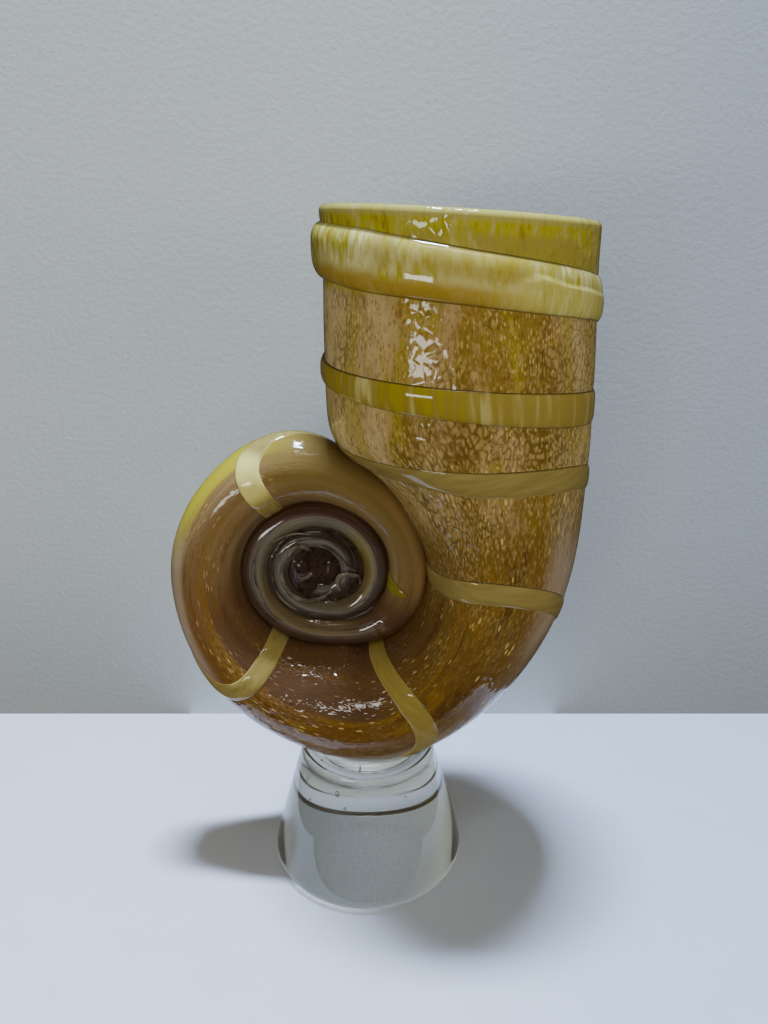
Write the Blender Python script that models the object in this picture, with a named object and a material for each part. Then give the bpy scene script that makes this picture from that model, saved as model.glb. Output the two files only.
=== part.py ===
"""Hand-blown glass vase shaped like an ammonite.

A hollow horn of amber glass stands mouth upward, sweeps round under itself and
coils up in one plane.  A yellow glass thread winds round it from the lip to the
coil, a clear drawn-out tail fills the heart, and a solid clear foot carries it.
Metres, +Z up.  The origin is the centre of the foot's flat base, the mouth is on
the +X side and the coil is seen face-on along +Y.
"""
import math

import bpy
import numpy as np

mm = 0.001

# ---------------------------------------------------------------- horn
HEART = (-21.8 * mm, 149 * mm)         # X and Z of the middle of the coil

# Upright part, mouth first: height, centre X, half-widths towards the outside
# and towards the coil, half-depth front to back.
TUBE_STATIONS = (
    (298.5, 37.2, 55.0, 55.0, 55.0),
    (285, 37.7, 54.5, 54.5, 54.5),
    (260, 38.2, 55.0, 55.0, 55.0),
    (232, 39.2, 55.0, 55.9, 55.0),
    (219, 41.0, 53.6, 54.0, 53.5),
    (206, 43.2, 52.2, 40.8, 51.0),
    (182, 47.2, 47.2, 28.4, 47.0),
)
# Coiled part: degrees round the heart from +X by way of the bottom, radius of
# the outer edge, of the crest and of the inner edge, and half-depth.
COIL_STATIONS = (
    (0, 111.2, 67.5, 49.8, 42.5),
    (24, 104.1, 63.0, 49.0, 39.5),
    (48, 101.3, 64.0, 44.5, 35.5),
    (70, 97.4, 66.0, 38.5, 31.0),
    (90, 88.5, 61.9, 35.5, 26.8),
    (112, 80.0, 57.7, 35.5, 22.5),
    (136, 73.0, 54.2, 35.5, 18.8),
    (160, 68.2, 51.7, 35.5, 16.0),
    (190, 66.0, 50.7, 35.5, 15.0),
    (230, 65.3, 50.6, 35.5, 15.4),
    (262, 65.2, 50.5, 35.5, 15.4),
    (290, 55.0, 46.3, 34.5, 14.2),
    (325, 49.4, 42.7, 34.0, 11.7),
    (360, 48.2, 41.2, 33.0, 9.8),
    (385, 47.4, 39.6, 31.5, 9.0),
    (405, 43.0, 36.0, 29.0, 7.8),
    (430, 36.6, 30.6, 24.6, 6.5),
    (455, 34.0, 28.3, 22.6, 5.8),
    (540, 34.2, 28.4, 22.6, 5.7),
    (640, 33.8, 28.3, 22.8, 5.4),
    (700, 32.4, 27.1, 21.8, 5.3),
    (740, 30.0, 25.1, 20.3, 4.9),
    (770, 26.4, 21.8, 17.2, 4.6),
    (800, 22.5, 18.2, 13.9, 4.3),
    (830, 21.4, 17.1, 12.8, 4.3),
    (900, 22.2, 17.9, 13.6, 4.3),
    (1000, 20.4, 16.4, 12.4, 4.0),
    (1080, 16.8, 13.1, 9.4, 3.7),
    (1130, 13.4, 9.9, 6.4, 3.5),
    (1180, 11.4, 8.1, 4.8, 3.3),
    (1290, 11.4, 8.2, 5.0, 3.0),
)
COIL_ANGLES = range(0, 1291, 15)       # where the coil's stations are worked out
HORN_END = 400                         # degrees where the amber glass runs out
MOUTH_TILT = math.radians(-3.5)        # the lip slopes down towards +X
MOUTH_DIP = 1.5 * mm                   # and dips towards -Y
MOUTH_BLEND = 90 * mm                  # length over which slope and dip fade out
SIDES = 24                             # facets round the horn
RING_STEP = 0.28                       # ring spacing, as a share of the half-depth
RING_STEP_MIN = 5.0 * mm

# ---------------------------------------------------------------- hollow
LIP_WALL = 5.0 * mm
BEND_WALL = 8.0 * mm
BORE_END = 165                         # degrees where the bore closes
BORE_STEP = 13 * mm

# ---------------------------------------------------------------- trail
# Where each turn of the thread lies, as a length down the horn's centre line
# from the mouth: on the coil side, then in front, then on the outside.
TRAIL_TURNS = (
    (13.5, 19.6, 29),
    (56, 64, 80),
    (82, 94.7, 112.5),
    (150.5, 141.2, 158),
    (206, 205.8, 236),
    (289, 287, 307),
    (388, 391.8, 407),
    (489, 496, 504),
)
TRAIL_FROM = -0.375                    # turns, the thread's first end, behind the lip
TRAIL_START = 12                       # its length down the horn there
TRAIL_TO = 7.25                        # turns, its last end
# Turn, width and height of the thread.
TRAIL_SECTIONS = (
    (-0.375, 6.0, 0.8),
    (-0.292, 14.0, 2.2),
    (0.0, 20.5, 3.6),
    (0.13, 21.5, 3.4),
    (0.25, 18.5, 2.6),
    (0.5, 16.5, 1.3),
    (1.0, 9.0, 0.9),
    (1.25, 12.0, 0.7),
    (1.5, 14.5, 0.7),
    (2.0, 11.5, 0.7),
    (2.5, 10.0, 0.7),
    (3.0, 8.5, 0.7),
    (3.25, 10.5, 0.7),
    (4.0, 8.0, 0.7),
    (4.25, 11.5, 0.7),
    (4.5, 9.5, 0.7),
    (6.0, 10.0, 0.7),
    (6.4, 11.5, 0.7),
    (6.65, 7.5, 0.7),
    (7.1, 6.5, 0.7),
    (7.25, 3.0, 0.6),
)
PRESSED_FROM = 1.7                     # turns; after this the coil presses on the thread
PRESSED_HEIGHT = 0.45 * mm
TRAIL_GAP = 0.7 * mm                   # between the horn's skin and the thread
SEAT_GAP = 0.4 * mm                    # between the horn and the foot

# ---------------------------------------------------------------- tail
TAIL_SIDES = 9
TAIL_STEP = 6.0 * mm
TAIL_GAP = 0.3 * mm

# ---------------------------------------------------------------- foot
FOOT_BASE_RADIUS = 46.2 * mm
FOOT_FLAT_RADIUS = 42.0 * mm           # the polished face that it stands on
FOOT_TOP_RADIUS = 32.5 * mm
FOOT_SIDE_HEIGHT = 57.0 * mm           # up to the shoulder
FOOT_HEIGHT = 66.0 * mm                # before the horn's seat is hollowed out
FOOT_SIDE_POWER = 1.17                 # 1 is a straight cone, more is fuller
FOOT_SEGMENTS = 36
SEAT_FROM, SEAT_TO = 30, 140           # degrees of coil that the seat follows
GROOVE_TURNS = (4.2, 4.95)             # stretch of the trail that lies in the seat


def clear_scene():
    for item in list(bpy.data.objects):
        bpy.data.objects.remove(item, do_unlink=True)


def make_material(name, colour, roughness, transmission=0.0):
    material = bpy.data.materials.new(name)
    material.use_nodes = True
    shader = material.node_tree.nodes["Principled BSDF"]
    shader.inputs["Base Color"].default_value = (*colour, 1.0)
    shader.inputs["Roughness"].default_value = roughness
    shader.inputs["Metallic"].default_value = 0.0
    shader.inputs["Transmission Weight"].default_value = transmission
    material.diffuse_color = (*colour, 1.0)
    return material


def smooth_rows(knots, rows):
    """Natural cubic spline through rows of numbers, as a function of the knots."""
    knots = np.asarray(knots, float)
    rows = np.asarray(rows, float)
    gaps = np.diff(knots)
    slopes = np.diff(rows, axis=0) / gaps[:, None]
    system = np.eye(len(knots))
    bends = np.zeros_like(rows)
    for i in range(1, len(knots) - 1):
        system[i, i - 1:i + 2] = gaps[i - 1], 2 * (gaps[i - 1] + gaps[i]), gaps[i]
        bends[i] = 6 * (slopes[i] - slopes[i - 1])
    bends = np.linalg.solve(system, bends)

    def value(x):
        i = int(np.clip(np.searchsorted(knots, x) - 1, 0, len(gaps) - 1))
        h = gaps[i]
        a = knots[i + 1] - x
        b = x - knots[i]
        cubic = (bends[i] * a ** 3 + bends[i + 1] * b ** 3) / (6 * h)
        before = (rows[i] / h - bends[i] * h / 6) * a
        after = (rows[i + 1] / h - bends[i + 1] * h / 6) * b
        return cubic + before + after

    return value


def horn_stations():
    """Centre X and Z, the two half-widths and the half-depth of every station."""
    rows = [(x, z, out, inn, deep) for z, x, out, inn, deep in TUBE_STATIONS]
    coil = smooth_rows([row[0] for row in COIL_STATIONS], [row[1:] for row in COIL_STATIONS])
    for degrees in COIL_ANGLES:
        edge, crest, inner, deep = coil(degrees)
        turn = math.radians(degrees)
        x = HEART[0] / mm + crest * math.cos(turn)
        z = HEART[1] / mm - crest * math.sin(turn)
        rows.append((x, z, edge - crest, crest - inner, deep))
    return np.array(rows) * mm


class Horn:
    """The horn's skin as a function of length down it and angle round it.

    Angle 0 faces the heart, 90 degrees faces -Y and 180 faces outward.
    """

    def __init__(self):
        rows = horn_stations()
        steps = np.hypot(*np.diff(rows[:, :2], axis=0).T)
        self.knots = np.concatenate([[0.0], np.cumsum(steps)])
        self.row = smooth_rows(self.knots, rows)

    def length_at(self, degrees):
        """Length down the horn at an angle round the heart."""
        return float(np.interp(degrees, COIL_ANGLES, self.knots[len(TUBE_STATIONS):]))

    def mouth_share(self, length):
        """1 at the lip, fading to 0 where the mouth's own slope ends."""
        share = min(1.0, max(0.0, 1 - length / MOUTH_BLEND))
        return share * share * (3 - 2 * share)

    def outward(self, length):
        step = 0.5 * mm
        along = self.row(length + step)[:2] - self.row(length - step)[:2]
        share = self.mouth_share(length)
        lean = math.atan2(along[0], -along[1]) * (1 - share) + MOUTH_TILT * share
        return np.array([math.cos(lean), 0.0, math.sin(lean)])

    def point(self, length, angle, grow=0.0):
        x, z, out, inn, deep = self.row(length)
        side = -math.cos(angle)
        reach = (out if side > 0 else inn) + grow
        place = np.array([x, 0.0, z]) + self.outward(length) * side * reach
        place[1] = -math.sin(angle) * (deep + grow)
        place[2] -= MOUTH_DIP * math.sin(angle) * self.mouth_share(length)
        return place

    def slopes(self, length, angle):
        step = 0.2 * mm
        turn = 0.004
        along = (self.point(length + step, angle) - self.point(length - step, angle)) / (2 * step)
        across = (self.point(length, angle + turn) - self.point(length, angle - turn)) / (2 * turn)
        return along, across

    def normal(self, length, angle):
        along, across = self.slopes(length, angle)
        normal = np.cross(along, across)
        return normal / np.linalg.norm(normal)

    def ring(self, length, sides, grow=0.0):
        return [self.point(length, 2 * math.pi * i / sides, grow) for i in range(sides)]


def tube_mesh(name, rings):
    """Close a run of equal rings into one solid, with a flat cap at each end."""
    sides = len(rings[0])
    points = [tuple(point) for ring in rings for point in ring]
    faces = []
    for r in range(len(rings) - 1):
        for i in range(sides):
            j = (i + 1) % sides
            faces.append((r * sides + i, r * sides + j, (r + 1) * sides + j, (r + 1) * sides + i))
    last = (len(rings) - 1) * sides
    faces.append(tuple(range(sides))[::-1])
    faces.append(tuple(last + i for i in range(sides)))
    mesh = bpy.data.meshes.new(name)
    mesh.from_pydata(points, [], faces)
    mesh.update()
    return mesh


def add_object(name, mesh, material=None):
    item = bpy.data.objects.new(name, mesh)
    bpy.context.scene.collection.objects.link(item)
    if material:
        mesh.materials.append(material)
        mesh.shade_smooth()
        mesh.set_sharp_from_angle(angle=math.radians(40))
    return item


def face_outward(mesh):
    """Turn every face over if the solid encloses a negative volume."""
    volume = 0.0
    for face in mesh.polygons:
        first = mesh.vertices[face.vertices[0]].co
        for i in range(1, len(face.vertices) - 1):
            second = mesh.vertices[face.vertices[i]].co
            third = mesh.vertices[face.vertices[i + 1]].co
            volume += first.dot(second.cross(third))
    if volume < 0:
        mesh.flip_normals()


def ring_lengths(horn, start, end):
    """Lengths for the rings of a run, closer together where the horn is thin."""
    lengths = [start]
    while lengths[-1] < end:
        deep = horn.row(lengths[-1])[4]
        lengths.append(lengths[-1] + max(RING_STEP_MIN, RING_STEP * deep))
    spread = (end - start) / (lengths[-1] - start)
    return [start + (length - start) * spread for length in lengths]


def rounded_end(ring, heading, radius, steps=2):
    """Rings that close a run with a dome, shrinking towards the ring's middle."""
    middle = sum(ring) / len(ring)
    rings = []
    for k in range(1, steps + 1):
        turn = math.pi / 2 * k / (steps + 0.6)
        reach = heading * radius * math.sin(turn)
        rings.append([middle + (point - middle) * math.cos(turn) + reach for point in ring])
    return rings


def build_horn(horn, material):
    end = horn.length_at(HORN_END)
    outside = [horn.ring(length, SIDES) for length in ring_lengths(horn, 0.0, end)]

    bore_end = horn.length_at(BORE_END)
    count = math.ceil(bore_end / BORE_STEP)
    inside = []
    for k in range(count + 1):
        length = bore_end * k / count
        wall = LIP_WALL + (BEND_WALL - LIP_WALL) * length / bore_end
        left = bore_end - length
        dome = 0.9 * horn.row(length)[4]
        share = 1.0 if left > dome else max(0.25, math.sqrt(1 - (1 - left / dome) ** 2))
        ring = horn.ring(length, SIDES, -wall)
        middle = sum(ring) / SIDES
        inside.append([middle + (point - middle) * share for point in ring])

    lip = []
    rise = np.cross(horn.outward(0.0), [0.0, 1.0, 0.0])
    rise = rise if rise[2] > 0 else -rise
    for turn in (math.pi * 0.72, math.pi * 0.5, math.pi * 0.28):
        share = 0.5 - 0.5 * math.cos(turn)
        height = math.sin(turn) * LIP_WALL / 2
        lip.append([i + (o - i) * share + rise * height for i, o in zip(inside[0], outside[0])])
    mesh = tube_mesh("horn", inside[::-1] + lip[::-1] + outside)
    face_outward(mesh)
    return add_object("horn", mesh, material)


def trail_path(turn):
    """Length down the horn where the thread lies at a number of turns."""
    knots = [k + part for k in range(len(TRAIL_TURNS)) for part in (0, 0.25, 0.5)]
    knots = [TRAIL_FROM] + knots
    lengths = [TRAIL_START] + [length for row in TRAIL_TURNS for length in row]
    return smooth_rows(knots, [[length * mm] for length in lengths])(turn)[0]


def pressed(turn):
    """Share, 0 to 1, by which the whorls touching the thread flatten it."""
    if turn < PRESSED_FROM:
        return 0.0
    towards_coil = math.cos(2 * math.pi * turn)
    share = min(1.0, max(0.0, (towards_coil - 0.25) / 0.4))
    if turn > len(TRAIL_TURNS) - 1.55:
        share = max(share, min(1.0, max(0.0, (-towards_coil + 0.2) / 0.4)))
    return share


def trail_rings(horn, first=TRAIL_FROM, last=TRAIL_TO, grow=0.0):
    """Cross-sections of the thread between two turns, on one fixed division."""
    turns, widths, heights = zip(*TRAIL_SECTIONS)
    count = round((TRAIL_TO - TRAIL_FROM) * SIDES)
    rings = []
    for k in range(count + 1):
        turn = TRAIL_FROM + (TRAIL_TO - TRAIL_FROM) * k / count
        if not first <= turn <= last:
            continue
        width = np.interp(turn, turns, widths) * mm / 2
        height = np.interp(turn, turns, heights) * mm
        height += (PRESSED_HEIGHT - height) * pressed(turn)
        length = trail_path(turn)
        angle = 2 * math.pi * turn
        drift = (trail_path(turn + 0.01) - trail_path(turn - 0.01)) / (0.02 * 2 * math.pi)
        along, across = horn.slopes(length, angle)
        stretch_along = along @ along
        stretch_across = across @ across
        slant = np.array([stretch_across, -drift * stretch_along])
        slant /= math.sqrt(slant[0] ** 2 * stretch_along + slant[1] ** 2 * stretch_across)
        ring = []
        for place, lift in ((-1, 0), (0, 0), (1, 0), (1, 0.35), (0.45, 1), (-0.45, 1), (-1, 0.35)):
            at = length + slant[0] * place * (width + grow)
            turned = angle + slant[1] * place * (width + grow)
            rise = TRAIL_GAP + lift * height + (grow if lift else -grow)
            ring.append(horn.point(at, turned) + horn.normal(at, turned) * rise)
        rings.append(ring)
    return rings


def build_trail(horn, material):
    mesh = tube_mesh("trail", trail_rings(horn))
    face_outward(mesh)
    return add_object("trail", mesh, material)


def build_tail(horn, material):
    start = horn.length_at(HORN_END) + TAIL_GAP
    end = horn.knots[-1]
    count = round((end - start) / TAIL_STEP)
    step = (end - start) / count
    rings = [horn.ring(start + step * k, TAIL_SIDES) for k in range(count + 1)]
    heading = sum(rings[-1]) / TAIL_SIDES - sum(rings[-2]) / TAIL_SIDES
    heading /= np.linalg.norm(heading)
    rings += rounded_end(rings[-1], heading, horn.row(end)[4])
    mesh = tube_mesh("coil_tail", rings)
    face_outward(mesh)
    return add_object("coil_tail", mesh, material)


def foot_profile():
    """Radius and height of the foot's outline, from its base to its crown."""
    edge = FOOT_BASE_RADIUS - FOOT_FLAT_RADIUS
    outline = [(FOOT_FLAT_RADIUS, 0.0)]
    for k in (1, 2):
        turn = math.pi / 2 * k / 3
        outline.append((FOOT_FLAT_RADIUS + edge * math.sin(turn), edge * (1 - math.cos(turn))))
    for k in range(6):
        share = k / 5
        height = edge + (FOOT_SIDE_HEIGHT - edge) * share
        radius = FOOT_BASE_RADIUS + (FOOT_TOP_RADIUS - FOOT_BASE_RADIUS) * share ** FOOT_SIDE_POWER
        outline.append((radius, height))
    for k in (1, 2, 3):
        turn = math.pi / 2 * k / 3.4
        radius = FOOT_TOP_RADIUS * (0.7 + 0.3 * math.cos(turn))
        crown = (FOOT_HEIGHT - FOOT_SIDE_HEIGHT) * math.sin(turn)
        outline.append((radius, FOOT_SIDE_HEIGHT + crown))
    return outline


def cut_away(target, cutter):
    cutter.hide_render = True
    cutter.display_type = "WIRE"
    cut = target.modifiers.new("seat", "BOOLEAN")
    cut.operation = "DIFFERENCE"
    cut.solver = "EXACT"
    cut.object = cutter


def build_foot(horn, material):
    rings = []
    for radius, height in foot_profile():
        turns = [2 * math.pi * i / FOOT_SEGMENTS for i in range(FOOT_SEGMENTS)]
        ring = [(radius * math.cos(turn), radius * math.sin(turn), height) for turn in turns]
        rings.append(np.array(ring))
    mesh = tube_mesh("foot", rings)
    face_outward(mesh)
    foot = add_object("foot", mesh, material)

    all_lengths = ring_lengths(horn, 0.0, horn.length_at(HORN_END))
    first, last = horn.length_at(SEAT_FROM), horn.length_at(SEAT_TO)
    seat = [horn.ring(u, SIDES, SEAT_GAP) for u in all_lengths if first <= u <= last]
    seat_mesh = tube_mesh("horn_seat", seat)
    face_outward(seat_mesh)
    cut_away(foot, add_object("horn_seat", seat_mesh))

    groove_mesh = tube_mesh("trail_seat", trail_rings(horn, *GROOVE_TURNS, SEAT_GAP))
    face_outward(groove_mesh)
    cut_away(foot, add_object("trail_seat", groove_mesh))
    return foot


def main():
    clear_scene()
    amber = make_material("amber glass", (0.36, 0.21, 0.05), 0.06)
    yellow = make_material("yellow glass", (0.42, 0.34, 0.07), 0.08)
    smoky = make_material("smoky clear glass", (0.55, 0.54, 0.47), 0.03, 0.8)
    clear = make_material("clear glass", (0.93, 0.95, 0.94), 0.02, 1.0)
    horn = Horn()
    build_horn(horn, amber)
    build_trail(horn, yellow)
    build_tail(horn, smoky)
    build_foot(horn, clear)


main()
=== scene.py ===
import math

import bmesh
import bpy
import numpy as np
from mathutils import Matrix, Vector
from mathutils.bvhtree import BVHTree


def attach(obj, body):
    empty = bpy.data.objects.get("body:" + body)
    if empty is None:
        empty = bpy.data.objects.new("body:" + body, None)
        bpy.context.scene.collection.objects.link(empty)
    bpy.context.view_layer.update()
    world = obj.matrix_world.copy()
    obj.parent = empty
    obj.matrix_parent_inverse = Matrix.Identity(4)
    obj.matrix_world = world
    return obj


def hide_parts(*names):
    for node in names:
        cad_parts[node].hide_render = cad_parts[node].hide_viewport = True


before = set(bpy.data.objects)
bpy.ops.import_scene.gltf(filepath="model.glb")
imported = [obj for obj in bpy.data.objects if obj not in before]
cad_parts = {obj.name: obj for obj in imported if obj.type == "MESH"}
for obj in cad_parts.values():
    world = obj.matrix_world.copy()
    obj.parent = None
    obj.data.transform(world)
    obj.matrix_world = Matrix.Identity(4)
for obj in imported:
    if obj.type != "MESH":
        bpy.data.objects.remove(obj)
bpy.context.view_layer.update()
mm = 0.001
unrollRadius = 0.045  # the glass is unrolled round this radius for its patterns, metres
print("frame loaded")


class Look(dict):
    # a dictionary whose values are read as look.name
    __getattr__ = dict.__getitem__


def setAll(thing, **values):
    for name, value in values.items():
        setattr(thing, name, value)
    return thing


class Wire:
    # shader sums written as plain expressions
    __add__ = __radd__ = lambda self, other: self.maths("ADD", self, other)
    __mul__ = __rmul__ = lambda self, other: self.maths("MULTIPLY", self, other)
    __sub__ = lambda self, other: self.maths("SUBTRACT", self, other)
    __rsub__ = lambda self, other: self.maths("SUBTRACT", other, self)
    __abs__ = lambda self: self.maths("ABSOLUTE", self)

    def __init__(self, finish, socket):
        self.finish = finish
        self.socket = socket

    def out(self, name):
        return Wire(self.finish, self.socket.node.outputs[name])

    def maths(self, operation, *values):
        return self.finish.add("Math", dict(enumerate(values)), operation=operation)

    def step(self, low, high):
        # 0 below low, 1 above high, smooth between
        return self.finish.add("MapRange", {0: self, 1: low, 2: high}, interpolation_type="SMOOTHSTEP")

    def between(self, start, full, fade, end):
        # 1 from full to fade, 0 before start and after end
        return self.step(start, full) * (1 - self.step(fade, end))


class Finish:
    # a material, or with other arguments the sky
    def __init__(self, name, family="materials", shader="Principled BSDF", output="Material Output"):
        self.block = getattr(bpy.data, family).new(name)
        self.block.use_nodes = True
        self.tree = self.block.node_tree
        self.shader = self.tree.nodes[shader]
        self.output = self.tree.nodes[output]

    def plug(self, socket, value):
        if isinstance(value, Wire):
            self.tree.links.new(value.socket, socket)
        elif isinstance(value, tuple) and socket.type == "RGBA":
            socket.default_value = (*value[:3], 1.0)
        else:
            socket.default_value = value

    def add(self, kind, values=None, **settings):
        node = setAll(self.tree.nodes.new("ShaderNode" + kind), **settings)
        for name, value in (values or {}).items():
            self.plug(node.inputs[name], value)
        return Wire(self, [socket for socket in node.outputs if socket.enabled][0])

    def attribute(self, name, kind="Fac"):
        return self.add("Attribute", attribute_name=name).out(kind)

    def place(self):
        return self.add("TexCoord").out("Object")

    def axis(self, vector, name):
        return self.add("SeparateXYZ", {0: vector}).out(name)

    def vector(self, operation, first, second):
        return self.add("VectorMath", {0: first, 1: second}, operation=operation)

    def unrolled(self, flow, perMetre, start=None):
        # scales the unrolled glass round and down it; start moves the pattern along
        if start:
            flow = self.vector("ADD", flow, start)
        return self.vector("MULTIPLY", flow, (perMetre[0], *perMetre))

    def noise(self, vector, scale=1.0, detail=2.0, rough=0.5, warp=0.0):
        values = {"Vector": vector, "Scale": scale, "Detail": detail, "Roughness": rough, "Distortion": warp}
        return self.add("TexNoise", values).out("Fac")

    def clouds(self, flow, perMetre, detail=2.0, rough=0.5, warp=0.0, start=None):
        return self.noise(self.unrolled(flow, perMetre, start), 1.0, detail, rough, warp)

    def cells(self, flow, perMetre, feature="F1", start=None):
        values = {"Vector": self.unrolled(flow, perMetre, start), "Scale": 1.0, "Randomness": 1.0}
        return self.add("TexVoronoi", values, feature=feature)

    def flecks(self, flow, perMetre, edge, share, start=None):
        # small round cells, of which a random share is filled
        pattern = self.cells(flow, perMetre, "F1", start)
        chance = self.add("SeparateColor", {0: pattern.out("Color")}).out("Red")
        chosen = chance.step(1 - share - 0.02, 1 - share + 0.02)
        return (1 - pattern.out("Distance").step(*edge)) * chosen

    def ramp(self, value, stops):
        ramp = self.add("ValToRGB", {"Fac": value}).out("Color")
        elements = ramp.socket.node.color_ramp.elements
        while len(elements) < len(stops):
            elements.new(0.5)
        for element, (place, colour) in zip(elements, stops):
            element.position = place
            element.color = (*colour, 1.0)
        return ramp

    def blend(self, share, first, second):
        return self.add("Mix", {0: share, 6: first, 7: second}, data_type="RGBA")

    def coat(self, share, tone):
        # lays a tone over the colour so far
        self.colour = self.blend(share, self.colour, tone)

    def bump(self, height, distance, strength):
        return self.add("Bump", {"Height": height, "Distance": distance, "Strength": strength})

    def surface(self, **values):
        for name, value in values.items():
            self.plug(self.shader.inputs[name.replace("_", " ")], value)
        return self.block

    def gloss(self, look, height):
        normal = self.bump(height, look.relief * mm, look.reliefShare)
        return self.surface(Base_Color=self.colour, Roughness=look.roughness, IOR=look.ior, Normal=normal)

    def overlay(self, share, second):
        # the second shader shows where share is 1
        mix = self.add("MixShader", {0: share, 2: second})
        self.tree.links.new(self.shader.outputs[0], mix.socket.node.inputs[1])
        self.tree.links.new(mix.socket, self.output.inputs["Surface"])
        return self.block


def finishClear(name, look):
    glass = Finish(name)
    glass.surface(Base_Color=look.tint, Roughness=look.roughness, IOR=look.ior, Transmission_Weight=1.0)
    # lamps shine straight through it, tinted
    lampRay = glass.add("LightPath").out("Is Shadow Ray")
    return glass.overlay(lampRay, glass.add("BsdfTransparent", {"Color": look.lampTint}))


def coilSideOf(finish, flow):
    # 1 on the side that faces the coil's heart, -1 on the outer side
    return finish.axis(flow, "X") * (1 / unrollRadius)


# the horn's form, shared by every glass piece

hornShape = Look({
    "heart": (-21.8, 149),  # X and Z of the middle of the coil
    # centre X, height, half-widths outward and towards the coil, half-depth
    "upright": (
        (37.2, 298.5, 55.0, 55.0, 55.0), (37.7, 285, 54.5, 54.5, 54.5), (38.2, 260, 55.0, 55.0, 55.0),
        (39.2, 232, 55.0, 55.9, 55.0), (41.0, 219, 53.6, 54.0, 53.5), (43.2, 206, 52.2, 40.8, 51.0),
        (47.2, 182, 47.2, 28.4, 47.0)),
    # degrees round the heart, radius of the outer edge, crest and inner edge, half-depth
    "coil": (
        (0, 111.2, 67.5, 49.8, 42.5), (24, 104.1, 63.0, 49.0, 39.5), (48, 101.3, 64.0, 44.5, 35.5),
        (70, 97.4, 66.0, 38.5, 31.0), (90, 88.5, 61.9, 35.5, 26.8), (112, 80.0, 57.7, 35.5, 22.5),
        (136, 73.0, 54.2, 35.5, 18.8), (160, 68.2, 51.7, 35.5, 16.0), (190, 66.0, 50.7, 35.5, 15.0),
        (230, 65.3, 50.6, 35.5, 15.4), (262, 65.2, 50.5, 35.5, 15.4), (290, 55.0, 46.3, 34.5, 14.2),
        (325, 49.4, 42.7, 34.0, 11.7), (360, 48.2, 41.2, 33.0, 9.8), (385, 47.4, 39.6, 31.5, 9.0),
        (405, 43.0, 36.0, 29.0, 7.8), (430, 36.6, 30.6, 24.6, 6.5), (455, 34.0, 28.3, 22.6, 5.8),
        (540, 34.2, 28.4, 22.6, 5.7), (640, 33.8, 28.3, 22.8, 5.4), (700, 32.4, 27.1, 21.8, 5.3),
        (740, 30.0, 25.1, 20.3, 4.9), (770, 26.4, 21.8, 17.2, 4.6), (800, 22.5, 18.2, 13.9, 4.3),
        (830, 21.4, 17.1, 12.8, 4.3), (900, 22.2, 17.9, 13.6, 4.3), (1000, 20.4, 16.4, 12.4, 4.0),
        (1080, 16.8, 13.1, 9.4, 3.7), (1130, 13.4, 9.9, 6.4, 3.5), (1180, 11.4, 8.1, 4.8, 3.3),
        (1290, 11.4, 8.2, 5.0, 3.0)),
    "coilStep": 15,  # degrees between the coil's worked-out stations
    "amberEnd": 400,  # degrees where the amber runs out into clear glass
    "mouthTilt": -3.5, "mouthDip": 1.5, "mouthBlend": 90,
})


def smoothRows(knots, rows):
    # natural cubic spline through rows of numbers
    knots = np.asarray(knots, float)
    rows = np.asarray(rows, float)
    gaps = np.diff(knots)
    slopes = np.diff(rows, axis=0) / gaps[:, None]
    system = np.eye(len(knots))
    bends = np.zeros_like(rows)
    for i in range(1, len(knots) - 1):
        system[i, i - 1:i + 2] = gaps[i - 1], 2 * (gaps[i - 1] + gaps[i]), gaps[i]
        bends[i] = 6 * (slopes[i] - slopes[i - 1])
    bends = np.linalg.solve(system, bends)

    def value(x):
        x = np.asarray(x, float)
        i = np.clip(np.searchsorted(knots, x) - 1, 0, len(gaps) - 1)
        h = gaps[i][..., None]
        a = (knots[i + 1] - x)[..., None]
        b = (x - knots[i])[..., None]
        cubic = (bends[i] * a ** 3 + bends[i + 1] * b ** 3) / (6 * h)
        return cubic + (rows[i] / h - bends[i] * h / 6) * a + (rows[i + 1] / h - bends[i + 1] * h / 6) * b

    return value


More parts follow.
